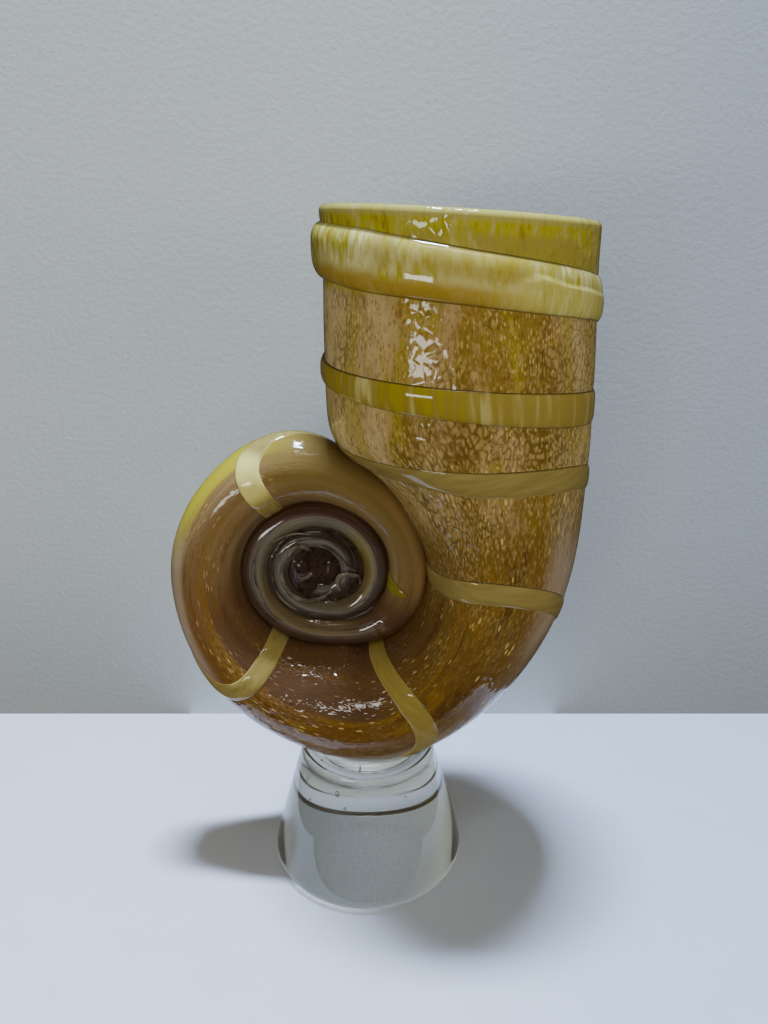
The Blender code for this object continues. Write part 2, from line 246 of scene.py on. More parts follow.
class HornForm:
    # everything here takes arrays: length down the horn and angle round it
    # (0 faces the heart, a quarter turn faces -Y, half a turn faces outward)
    def __init__(self, shape):
        table = np.array(shape.coil, float)
        self.angles = np.arange(0, table[-1, 0] + 1, shape.coilStep)
        edge, crest, inner, deep = smoothRows(table[:, 0], table[:, 1:])(self.angles).T
        turn = np.radians(self.angles)
        x, z = shape.heart[0] + crest * np.cos(turn), shape.heart[1] - crest * np.sin(turn)
        coil = np.stack([x, z, edge - crest, crest - inner, deep], -1)
        rows = np.concatenate([shape.upright, coil]) * mm
        steps = np.hypot(*np.diff(rows[:, :2], axis=0).T)
        self.knots = np.concatenate([[0.0], np.cumsum(steps)])
        self.row = smoothRows(self.knots, rows)
        self.shape = shape
        self.coilStart = len(shape.upright)

    def lengthAt(self, degrees):
        return np.interp(degrees, self.angles, self.knots[self.coilStart:])

    def mouthShare(self, length):
        share = np.clip(1 - length / (self.shape.mouthBlend * mm), 0, 1)
        return share * share * (3 - 2 * share)

    def outward(self, length):
        along = self.row(length + 0.5 * mm)[..., :2] - self.row(length - 0.5 * mm)[..., :2]
        share = self.mouthShare(length)
        lean = np.arctan2(along[..., 0], -along[..., 1]) * (1 - share)
        lean = lean + math.radians(self.shape.mouthTilt) * share
        return np.stack([np.cos(lean), 0 * lean, np.sin(lean)], -1)

    def point(self, length, angle, grow=0.0, scale=1.0):
        length, angle, grow = np.broadcast_arrays(np.asarray(length, float), angle, grow)
        x, z, out, inn, deep = np.moveaxis(self.row(length), -1, 0)
        side = -np.cos(angle)
        reach = np.where(side > 0, out, inn) * scale + grow
        place = np.stack([x, 0 * x, z], -1) + self.outward(length) * (side * reach)[..., None]
        place[..., 1] = -np.sin(angle) * (deep * scale + grow)
        place[..., 2] -= self.shape.mouthDip * mm * np.sin(angle) * self.mouthShare(length)
        return place

    def slopes(self, length, angle):
        step, turn = 0.2 * mm, 0.004
        along = (self.point(length + step, angle) - self.point(length - step, angle)) / (2 * step)
        across = (self.point(length, angle + turn) - self.point(length, angle - turn)) / (2 * turn)
        return along, across

    def normal(self, length, angle):
        return unit(np.cross(*self.slopes(length, angle)))


form = HornForm(hornShape)
amberEnd = form.lengthAt(hornShape.amberEnd)


# meshes from rings of points

def around(sides):
    return np.linspace(0, 2 * math.pi, sides, endpoint=False)


def unit(vectors):
    return vectors / np.linalg.norm(vectors, axis=-1, keepdims=True)


def climb(value, start, run):
    # 0 up to start, then straight up to 1 over run
    return np.clip((value - start) / run, 0, 1)


def wrapMesh(name, rings, extras=None):
    # rings: (rows, sides, 3); each row joins the next, with a cap at both ends
    rows, sides = rings.shape[:2]
    r, i = np.meshgrid(np.arange(rows - 1), np.arange(sides), indexing="ij")
    j = (i + 1) % sides
    faces = np.stack([r * sides + i, r * sides + j, (r + 1) * sides + j, (r + 1) * sides + i], -1)
    faces = faces.reshape(-1, 4).tolist()
    last = (rows - 1) * sides
    faces += [list(range(sides))[::-1], list(range(last, last + sides))]
    mesh = bpy.data.meshes.new(name)
    mesh.from_pydata(rings.reshape(-1, 3).tolist(), [], faces)
    for key, values in (extras or {}).items():
        kind, field = ("FLOAT_VECTOR", "vector") if values.ndim == 3 else ("FLOAT", "value")
        layer = mesh.attributes.new(key, kind, "POINT")
        layer.data.foreach_set(field, values.astype(np.float32).ravel())
    mesh.update()
    faceOutward(mesh)
    mesh.shade_smooth()
    return mesh


def joinMeshes(name, meshes):
    # one mesh in place of several
    whole = bmesh.new()
    for mesh in meshes:
        whole.from_mesh(mesh)
        bpy.data.meshes.remove(mesh)
    joined = bpy.data.meshes.new(name)
    whole.to_mesh(joined)
    whole.free()
    joined.shade_smooth()
    return joined


def ballRings(rings, sides):
    # a ball of radius 1 as rings round Z, without its two poles
    lean = math.pi * np.arange(1, rings)[:, None] / rings
    turn = around(sides)
    return np.stack([np.sin(lean) * np.cos(turn), np.sin(lean) * np.sin(turn), np.cos(lean) + 0 * turn], -1)


def faceOutward(mesh):
    # flips the mesh if its volume comes out negative
    solid = bmesh.new()
    solid.from_mesh(mesh)
    if solid.calc_volume(signed=True) < 0:
        mesh.flip_normals()
    solid.free()


def addObject(name, data):
    thing = bpy.data.objects.new(name, data)
    bpy.context.scene.collection.objects.link(thing)
    return thing


def addPiece(name, mesh, material, nodes=()):
    piece = addObject(name, mesh)
    mesh.materials.append(material)
    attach(piece, "root")
    if nodes:
        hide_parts(*nodes)
    return piece


def flowAt(length, angle):
    # the glass as if unrolled: round the horn in X and Y, down it in Z, in metres
    length, angle = np.broadcast_arrays(length, angle)
    return np.stack([unrollRadius * np.cos(angle), unrollRadius * np.sin(angle), length], -1)


def ripple(length, angle, size):
    # slow waves left by blowing and turning, never above zero
    # each wave's height, how many go round the horn, radians per metre down it, and where it starts
    waves = ((1.0, 3, 41, 0.4), (0.8, 5, -77, 1.9), (0.7, 2, 118, 4.0), (0.5, 8, 150, 2.2))
    total = sum(high * np.sin(count * angle + down * length + start) for high, count, down, start in waves)
    return size * (total / sum(wave[0] for wave in waves) - 1)


# horn

hornLook = Look({
    "rows": 330, "sides": 120, "boreRows": 90,
    "lipWall": 5.0, "bendWall": 8.0,  # thickness of the glass, mm
    "lipRings": 12, "lipRise": 0.49,  # the rim's arch, its rise as a share of the wall
    "boreEnd": 165,  # degrees where the hollow ends
    "boreDome": 0.9, "boreNose": 0.25,
    "tipLength": 9, "tipInset": 0.3, "tipRings": 8,
    "wave": 0.16,  # height of the slow waves, mm
    # touching whorls press together: how far in mm, and where each side of the horn starts to
    "close": 1.4, "innerPressed": 75, "innerRun": 25, "outerPressed": 285, "outerRun": 20,
    "lipEnd": 27,  # length of yellow lip below the rim, mm

    # patterns in the glass: how many per metre round the horn and down it
    "wander": (38, 20), "wanderReach": 0.02, "patches": (62, 17), "streaks": (95, 17), "darks": (120, 24),
    "strokes": (900, 300), "spawn": (560, 240), "clusters": (42, 34), "specks": (1250, 480),
    "crowds": (50, 26), "grains": (560, 200), "drifts": (70, 22), "threads": (105, 11),
    "plains": (40, 50), "swells": (150, 80), "dimples": (260, 200),

    # the glass under it all, by share of the way from the mouth to the last amber, at run mm
    "run": 520,
    "ground": ((0.06, (0.291, 0.183, 0.024)), (0.21, (0.21, 0.128, 0.018)), (0.34, (0.15, 0.080, 0.012)),
               (0.54, (0.150, 0.062, 0.008)), (0.66, (0.20, 0.105, 0.034)), (0.86, (0.21, 0.130, 0.045)),
               (1.0, (0.097, 0.048, 0.022))),

    # where each glass and each painted shade, reflection and highlight starts, is full, fades and ends, mm
    # down the horn
    "upper": (95, 130), "busy": (100, 200), "clustered": (120, 200), "speckled": (100, 170),
    "grained": (50, 110, 400, 470), "banded": (190, 235, 300, 350), "veiled": (100, 140, 225, 260),
    "shaded": (150, 215), "shadeFades": (400, 440), "blushed": (285, 310, 345, 365), "lastWhorl": (320, 370),
    "yellowed": (335, 372, 398, 420), "khakied": (392, 408, 455, 495), "crested": (425, 460, 490, 510),
    "amberFades": (488, 512), "smoothed": (290, 350), "rim": (0.2, 2.0),

    # tones in pairs: lower down, then on the upright part, and for the painted glow at the sides pale, then
    # golden
    "patch": ((0.22, 0.125, 0.065), (0.46, 0.31, 0.13)),
    "gold": ((0.21, 0.110, 0.009), (0.325, 0.240, 0.014)),
    "dark": ((0.085, 0.034, 0.008), (0.205, 0.095, 0.017)),
    "thin": ((0.80, 0.64, 0.33), (0.54, 0.42, 0.12)),
    "pale": (0.54, 0.40, 0.17), "outline": (0.120, 0.078, 0.020), "fleck": (0.85, 0.66, 0.22),
    "mauve": (0.090, 0.048, 0.028), "pink": (0.215, 0.120, 0.060), "veil": (0.46, 0.37, 0.29),
    "shade": (0.097, 0.048, 0.022), "blush": (0.50, 0.40, 0.30), "whorlStreak": (0.31, 0.225, 0.11),
    "whorlHaze": (0.26, 0.19, 0.09), "yellow": (0.42, 0.36, 0.012), "khaki": (0.185, 0.128, 0.030),
    "crest": (0.42, 0.27, 0.10), "lipPlain": (0.38, 0.30, 0.07), "lipDeep": (0.12, 0.09, 0.01),
    "rimTone": (0.42, 0.38, 0.14),
    "lip": ((0.36, (0.355, 0.244, 0.020)), (0.45, (0.529, 0.499, 0.020)), (0.52, (0.52, 0.46, 0.06)),
            (0.60, (0.62, 0.55, 0.16)), (0.68, (0.85, 0.80, 0.24))),
    "relief": 0.35, "reliefShare": 0.6, "roughness": 0.05, "ior": 1.44,
})


def pressTogether(length, angle, size):
    # the skin swells where a whorl lies against the next one
    look = hornLook
    towardsHeart = np.clip(np.cos(angle), 0, 1) ** 3
    away = np.clip(-np.cos(angle), 0, 1) ** 3
    first = climb(length, look.innerPressed * mm, look.innerRun * mm)
    second = climb(length, form.lengthAt(look.outerPressed), look.outerRun * mm)
    return size * (towardsHeart * first + away * second)


def buildBore(look, angle):
    # the hollow: it follows the horn inside its wall and ends in a blunt nose
    length = np.linspace(0, form.lengthAt(look.boreEnd), look.boreRows)[:, None]
    end = length[-1]
    wall = (look.lipWall + (look.bendWall - look.lipWall) * length / end) * mm
    bore = form.point(length, angle, -wall)
    dome = look.boreDome * form.row(length)[..., 4]
    left = np.clip(1 - (end - length) / dome, 0, 1)
    share = np.maximum(look.boreNose, np.sqrt(1 - left ** 2))
    middle = bore.mean(1, keepdims=True)
    return middle + (bore - middle) * share[..., None], length


def buildHorn(look):
    angle = around(look.sides)
    length = np.linspace(0, amberEnd, look.rows)[:, None]
    grow = ripple(length, angle, look.wave * mm) + pressTogether(length, angle, look.close * mm)
    outside = form.point(length, angle, grow)

    # the amber ends in a blunt tip inside the clear tail
    turn = math.pi / 2 * np.arange(1, look.tipRings + 1)[:, None] / (look.tipRings + 0.5)
    tip = form.point(amberEnd + look.tipLength * mm * np.sin(turn), angle, -look.tipInset * mm, np.cos(turn))

    bore, inner = buildBore(look, angle)
    rise = np.cross([0.0, 1.0, 0.0], form.outward(np.array([0.0]))[0])
    rise = rise * np.sign(rise[2]) * look.lipWall * look.lipRise * mm
    turn = math.pi * (1 - np.arange(1, look.lipRings)[:, None, None] / look.lipRings)
    share = 0.5 - 0.5 * np.cos(turn)
    lip = bore[0] * share + outside[0] * (1 - share) + rise * np.sin(turn)

    rings = np.concatenate([bore[::-1], lip, outside, tip])
    lengths = np.concatenate([inner[::-1], np.zeros((len(lip), 1)), length, np.full((len(tip), 1), amberEnd)])
    extras = {"flow": flowAt(lengths, angle), "along": lengths + 0 * angle}
    addPiece("horn_glass", wrapMesh("horn_glass", rings, extras), finishHorn(look), ["horn"])


strokeLook = Look({"fine": (620, 150), "wide": (110, 42)})


def strokes(finish, flow):
    # short vertical strokes of one glass pulled through another, 0 to 1
    small = finish.clouds(flow, strokeLook.fine, 3, 0.55, 0.5)
    large = finish.clouds(flow, strokeLook.wide, 3, 0.55, 0.6)
    return small * 0.5 + large * 0.5


def coatWhorl(skin, look, flowing, down, coilSide):
    # the last whorl: soft long streaks, yellow along its outer edge and khaki over the top
    whorl = down.step(*look.lastWhorl)
    soft = skin.clouds(flowing, look.threads, 3, 0.5, 0.3)
    skin.coat(whorl * soft.step(0.40, 0.66) * 0.7, look.whorlStreak)
    skin.coat(whorl * 0.35, look.whorlHaze)
    outer = (0 - coilSide + (soft - 0.5) * 0.8).step(0.45, 0.85)
    yellow = down.between(*look.yellowed) * outer
    skin.coat(yellow * 0.85, look.yellow)
    khaki = down.between(*look.khakied) * (1 - coilSide.step(0.0, 0.9) * 0.7)
    skin.coat(khaki * 0.7, look.khaki)
    crest = (0 - coilSide).step(0.10, 0.70) * down.between(*look.crested)
    skin.coat(crest * 0.75, look.crest)
    skin.coat(down.step(*look.amberFades), look.shade)


def coatLip(skin, look, flow, down):
    share = 1 - down.step(look.lipEnd - 2, look.lipEnd + 2)
    lip = skin.ramp(strokes(skin, flow), look.lip)
    plain = skin.clouds(flow, look.plains, 1, start=(0.2, 0.6, 0.4)).step(0.46, 0.58) * down.step(3, 7)
    lip = skin.blend(plain * 0.6, lip, look.lipPlain)
    lip = skin.blend(0.25, lip, look.lipDeep)
    skin.coat(share, lip)
    # painted highlight: a pale line along the rim's thin top edge
    skin.coat((1 - down.step(*look.rim)) * 0.55, look.rimTone)


def finishHorn(look):
    skin = Finish("speckled amber glass")
    flow = skin.attribute("flow", "Vector")
    down = skin.attribute("along") * (1 / mm)
    coilSide = coilSideOf(skin, flow)
    wander = skin.clouds(flow, look.wander)
    sway = skin.add("CombineXYZ", {0: wander, 1: wander})
    reach = (look.wanderReach, look.wanderReach, 0)
    flowing = skin.vector("ADD", flow, skin.vector("MULTIPLY", sway, reach))
    skin.colour = skin.ramp(down * (1 / look.run), look.ground)

    # soft patches of pinkish glass, most of them on the coil side of the upright part
    upper = 1 - down.step(*look.upper)
    patch = skin.clouds(flowing, look.patches, 3, 0.55, 0.5)
    patched = (patch + coilSide * 0.10).step(0.50, 0.60) * (0.25 + 0.45 * upper)
    skin.coat(patched, skin.blend(upper, *look.patch))

    # golden and dark glass in long streaks
    streak = skin.clouds(flowing, look.streaks, 3, 0.5, 0.4, (0.3, 0.1, 0.7))
    skin.coat(streak.step(0.52, 0.60) * 0.85, skin.blend(upper, *look.gold))
    dark = skin.clouds(flowing, look.darks, 3, 0.6, 0.4, (0.8, 0.5, 0.1))
    skin.coat(dark.step(0.56, 0.68) * 0.7, skin.blend(upper, *look.dark))

    # painted glow: both sides of the upright part are painted paler, for light that comes through the thin
    # wall there
    thin = (abs(coilSide) + (patch - 0.5) * 0.5).step(0.42, 0.92) * upper
    skin.coat(thin * 0.8, skin.blend(streak.step(0.42, 0.60), *look.thin))

    # the skin is crowded with short strokes, light on dark
    stroke = skin.clouds(flow, look.strokes, 3, 0.6, 0.3)
    busy = 1 - down.step(*look.busy) * 0.80
    skin.coat(stroke.step(0.48, 0.66) * 0.42 * busy, look.pale)
    skin.coat((1 - stroke.step(0.34, 0.48)) * 0.36 * busy, look.outline)

    # frogspawn: pale blobs with dark outlines, in clusters on the upright part
    blobs = skin.cells(flowing, look.spawn, "DISTANCE_TO_EDGE").out("Distance")
    cluster = skin.clouds(flow, look.clusters, start=(0.5, 0.9, 0.3)).step(0.46, 0.56)
    cluster = cluster * (1 - down.step(*look.clustered) * 0.6)
    outline = (1 - blobs.step(0.02, 0.13)) * cluster
    skin.coat(cluster * blobs.step(0.10, 0.32) * 0.45, look.pale)
    skin.coat(outline * 0.55, look.outline)

    # fine cream and dark specks, thickest near the mouth
    crowd = skin.clouds(flow, look.crowds, 3, 0.55, start=(0.9, 0.4, 0.2)).step(0.40, 0.58)
    few = 1 - down.step(*look.speckled) * 0.75
    speck = skin.flecks(flow, look.specks, (0.25, 0.50), 0.42) * (0.25 + 0.75 * crowd) * few
    skin.coat(speck * 0.48, look.fleck)
    mote = skin.flecks(flow, look.specks, (0.25, 0.50), 0.30, (0.03, 0.02, 0.05)) * upper
    skin.coat(mote * 0.5, look.outline)

    # rice-grain flecks of cream in the bend
    drift = skin.clouds(flow, look.drifts).step(0.42, 0.58)
    grain = skin.flecks(flow, look.grains, (0.20, 0.36), 0.30) * drift * down.between(*look.grained)
    skin.coat(grain * 0.72, look.fleck)

    # glass pulled into lengthwise bands along the bottom whorl; the pink band along its outer edge is a
    # painted reflection
    bands = down.between(*look.banded)
    lie = coilSide + (wander - 0.5) * 0.35
    skin.coat(lie.between(0.12, 0.24, 0.62, 0.78) * bands * 0.8, look.mauve)
    skin.coat((1 - lie.step(-0.66, -0.48)) * bands * 0.75, look.pink)

    # painted reflection: a pinkish veil along the outer edge of the bend, where the glass mirrors the table
    # at a grazing angle
    veil = (0 - lie).step(0.48, 0.76) * down.between(*look.veiled)
    veil = veil * (1 - grain) * (0.35 + 0.65 * patch.step(0.38, 0.56))
    skin.coat(veil * 0.85, look.veil)

    # painted shade: the side that faces the heart, deep in the coil, is darkened towards red-brown
    shade = (coilSide + (wander - 0.5) * 0.5).step(0.50, 0.86) * down.step(*look.shaded)
    shade = shade * (1 - down.step(*look.shadeFades) * 0.7)
    skin.coat(shade * 0.8, look.shade)

    # painted reflection: a pale pinkish sheen along the outer edge where the last whorl begins
    blush = (0 - lie).step(0.42, 0.72) * down.between(*look.blushed)
    skin.coat(blush * 0.8, look.blush)
    coatWhorl(skin, look, flowing, down, coilSide)
    coatLip(skin, look, flow, down)

    # skin relief: blobs and specks show through as dimples, so highlights break up
    swell = skin.clouds(flow, look.swells)
    dimples = skin.cells(flowing, look.dimples, "DISTANCE_TO_EDGE").out("Distance")
    height = dimples.step(0.0, 0.35) * (0.3 + 1.3 * cluster) + grain * 0.35 + speck * 0.12 + swell * 0.9
    height = height * (1 - down.step(*look.smoothed) * 0.75)
    return skin.gloss(look, height)


buildHorn(hornLook)
print("horn built")


# thread

threadLook = Look({
    # length down the horn at each turn, mm: coil side, front, outside
    "turns": ((13.5, 19.6, 29), (56, 64, 80), (82, 94.7, 112.5), (150.5, 141.2, 158),
              (206, 205.8, 236), (289, 287, 307), (388, 391.8, 407), (489, 496, 504)),
    "firstTurn": -0.375, "lastTurn": 7.25, "firstLength": 12,
    # turn, width, height above the skin
    "sections": (
        (-0.375, 6.0, 1.2), (-0.292, 14.0, 2.6), (0.0, 20.5, 4.3), (0.13, 21.5, 4.1), (0.25, 18.5, 3.3),
        (0.5, 16.5, 2.0), (1.0, 9.0, 1.6), (1.25, 12.0, 1.2), (1.5, 14.5, 0.8), (2.0, 11.5, 0.8),
        (2.5, 10.0, 0.8), (3.0, 8.5, 0.7), (3.25, 10.5, 0.7), (4.0, 8.0, 0.7), (4.25, 11.5, 0.7),
        (4.5, 9.5, 0.7), (6.0, 10.0, 0.7), (6.4, 11.5, 0.7), (6.65, 7.5, 0.7), (7.1, 6.5, 0.7),
        (7.25, 3.0, 0.6)),
    # turn and length down the horn of the fold where a second lap starts, and its height
    "fold": ((0.25, 22.5), (0.283, 21.4), (0.317, 17.8), (0.344, 20.6), (0.44, 25.0), (0.5, 27.5)),
    "foldHeight": 0.45, "foldWidth": 0.7, "foldFadeIn": 0.06, "foldFadeOut": 0.04,
    "pressedFrom": 1.7, "pressedHeight": 0.45,
    "perTurn": 130, "topPoints": 41, "underPoints": (0.6, -0.6), "sunk": 0.5,
    "archPower": 2.8, "endTurns": 0.06, "endSize": 0.03,

    # patterns: how many per metre round the horn and down it
    "pools": (70, 60), "bars": (260, 30), "grain": (60, 480), "swells": (120, 160),

    # where the tones of one turn give way to the next, in turns
    "toSecond": (0.60, 0.80), "toRest": (1.60, 1.80),
    "calm": (0.16, 0.23, 0.29, 0.33), "edgeFades": (0.26, 0.36), "barsCalm": (1.18, 1.34),
    "bright": (6.15, 6.23, 6.36, 6.42), "golden": (3.7, 4.0, 4.6, 4.9), "lime": (6.6, 6.9),

    "first": ((0.34, (0.355, 0.244, 0.020)), (0.43, (0.50, 0.46, 0.045)), (0.50, (0.62, 0.56, 0.19)),
              (0.58, (0.80, 0.76, 0.34)), (0.68, (0.88, 0.86, 0.40))),
    "second": ((0.38, (0.34, 0.28, 0.012)), (0.46, (0.31, 0.225, 0.022)), (0.54, (0.35, 0.28, 0.05)),
               (0.64, (0.58, 0.50, 0.18))),
    "rest": ((0.3, (0.26, 0.197, 0.052)), (0.7, (0.35, 0.280, 0.088))),
    "calmTone": (0.46, 0.36, 0.05), "poolTone": (0.44, 0.36, 0.09), "edgeTone": (0.42, 0.255, 0.012),
    "cream": (0.85, 0.80, 0.24), "deep": (0.10, 0.08, 0.01), "secondCalm": (0.34, 0.26, 0.06),
    "goldenTone": (0.34, 0.24, 0.025), "limeTone": (0.20, 0.165, 0.010),
    "seam": (0.07, 0.045, 0.012), "paleSeam": (0.85, 0.66, 0.22),
    "relief": 0.3, "reliefShare": 0.25, "roughness": 0.05, "ior": 1.52,
})


def pressedShare(turn, look):
    # 1 where the thread is squeezed flat between two whorls
    towardsCoil = np.cos(2 * math.pi * turn)
    share = climb(towardsCoil, 0.25, 0.4)
    late = climb(-towardsCoil, -0.2, 0.4)
    share = np.where(turn > len(look.turns) - 1.55, np.maximum(share, late), share)
    return np.where(turn < look.pressedFrom, 0.0, share)


def threadWay(look, turn):
    # length down the horn at each turn, and the direction across the thread on the horn's skin
    knots = [look.firstTurn] + [k + part for k in range(len(look.turns)) for part in (0, 0.25, 0.5)]
    lengths = [look.firstLength] + [length for row in look.turns for length in row]
    path = smoothRows(knots, [[length * mm] for length in lengths])
    length = path(turn)[..., 0]
    reach = 0.01
    drift = (path(turn + reach) - path(turn - reach))[..., 0] / (2 * reach * 2 * math.pi)
    along, across = form.slopes(length, 2 * math.pi * turn)
    stretchAlong = (along * along).sum(-1)
    stretchAcross = (across * across).sum(-1)
    slant = np.stack([stretchAcross, -drift * stretchAlong], -1)
    slant /= np.sqrt(slant[..., 0] ** 2 * stretchAlong + slant[..., 1] ** 2 * stretchAcross)[..., None]
    return length, slant


def buildThread(look):
    # rows along the thread, columns across it: over its arched top, then back under it
    count = round((look.lastTurn - look.firstTurn) * look.perTurn)
    turn = np.linspace(look.firstTurn, look.lastTurn, count + 1)[:, None]
    knots, widths, heights = np.array(look.sections).T
    width = np.interp(turn, knots, widths) * mm / 2
    height = np.interp(turn, knots, heights) * mm
    height += (look.pressedHeight * mm - height) * pressedShare(turn, look)
    ends = climb(np.minimum(turn - look.firstTurn, look.lastTurn - turn), 0, look.endTurns)
    roundEnd = np.sqrt(1 - (1 - ends) ** 2) * (1 - look.endSize) + look.endSize
    width, height = width * roundEnd, height * roundEnd

    top = look.topPoints
    s = np.concatenate([-np.cos(math.pi * np.arange(top) / (top - 1)), look.underPoints])
    length, slant = threadWay(look, turn)
    at = length + slant[..., 0] * s * width
    angle = 2 * math.pi * turn + slant[..., 1] * s * width

    # past the fold the second lap lies on the first, so the thread is thicker
    foldTurn, foldLength = np.array(look.fold).T
    foldShare = climb(turn, foldTurn[0], look.foldFadeIn) * climb(-turn, -foldTurn[-1], look.foldFadeOut)
    foldAt = np.interp(turn, foldTurn, foldLength) - look.foldWidth / 2
    past = climb(at, foldAt * mm, look.foldWidth * mm)
    folded = past * past * (3 - 2 * past) * foldShare
    thick = (look.sunk + height / mm - (1 - folded) * foldShare * look.foldHeight) * mm
    arch = np.maximum(0, 1 - abs(s) ** look.archPower) ** 0.5 * (np.arange(len(s)) < top)
    rise = thick * arch - look.sunk * mm + pressTogether(at, angle, hornLook.close * mm)
    rings = form.point(at, angle) + form.normal(at, angle) * rise[..., None]
    extras = {"across": s + 0 * at, "turn": turn + 0 * at, "fold": folded, "flow": flowAt(at, angle)}
    addPiece("thread", wrapMesh("thread", rings, extras), finishThread(look), ["trail"])


def firstTurn(skin, look, flow, turn, across):
    # cream and lime strokes, ochre along the lower edge on the coil side
    pulled = strokes(skin, flow)
    skin.colour = skin.ramp(pulled, look.first)
    calm = turn.between(*look.calm) * (1 - across.step(-0.1, 0.4))
    skin.coat(calm * 0.75, look.calmTone)
    pool = skin.clouds(flow, look.pools, start=(0.7, 0.2, 0.5))
    skin.coat(pool.step(0.50, 0.62) * 0.6, look.poolTone)
    edge = (across + (pulled - 0.5) * 1.4).step(0.15, 0.60)
    skin.coat(edge * 0.85 * (1 - turn.step(*look.edgeFades)), look.edgeTone)
    skin.coat(skin.attribute("fold") * 0.4, look.cream)
    skin.coat(0.14, look.deep)
    return skin.colour


def secondTurn(skin, look, flow, turn):
    # broad cream and olive bars
    skin.colour = skin.ramp(skin.clouds(flow, look.bars, 2, 0.5, 0.3), look.second)
    skin.coat(turn.step(*look.barsCalm) * 0.65, look.secondCalm)
    return skin.colour


def laterTurns(skin, look, flow, turn):
    # plain khaki, with a painted highlight in cream where the thread crosses the last whorl
    skin.colour = skin.ramp(skin.clouds(flow, look.grain, 3, 0.6), look.rest)
    skin.coat(turn.between(*look.bright) * 0.8, look.cream)
    skin.coat(turn.between(*look.golden) * 0.4, look.goldenTone)
    skin.coat(turn.step(*look.lime) * 0.9, look.limeTone)
    return skin.colour


def finishThread(look):
    skin = Finish("olive yellow glass")
    flow = skin.attribute("flow", "Vector")
    turn = skin.attribute("turn")
    across = skin.attribute("across")
    first = firstTurn(skin, look, flow, turn, across)
    second = secondTurn(skin, look, flow, turn)
    later = laterTurns(skin, look, flow, turn)
    skin.colour = skin.blend(turn.step(*look.toSecond), first, second)
    skin.coat(turn.step(*look.toRest), later)

    # a dark seam above the thread, and one below it that turns pale after the second turn
    skin.coat((0 - across).step(0.86, 0.95) * 0.9, look.seam)
    below = skin.blend(turn.step(*look.toRest), look.seam, look.paleSeam)
    skin.coat(across.step(0.90, 0.97) * 0.6, below)
    return skin.gloss(look, skin.clouds(flow, look.swells))


buildThread(threadLook)
print("thread built")


# clear tail in the heart

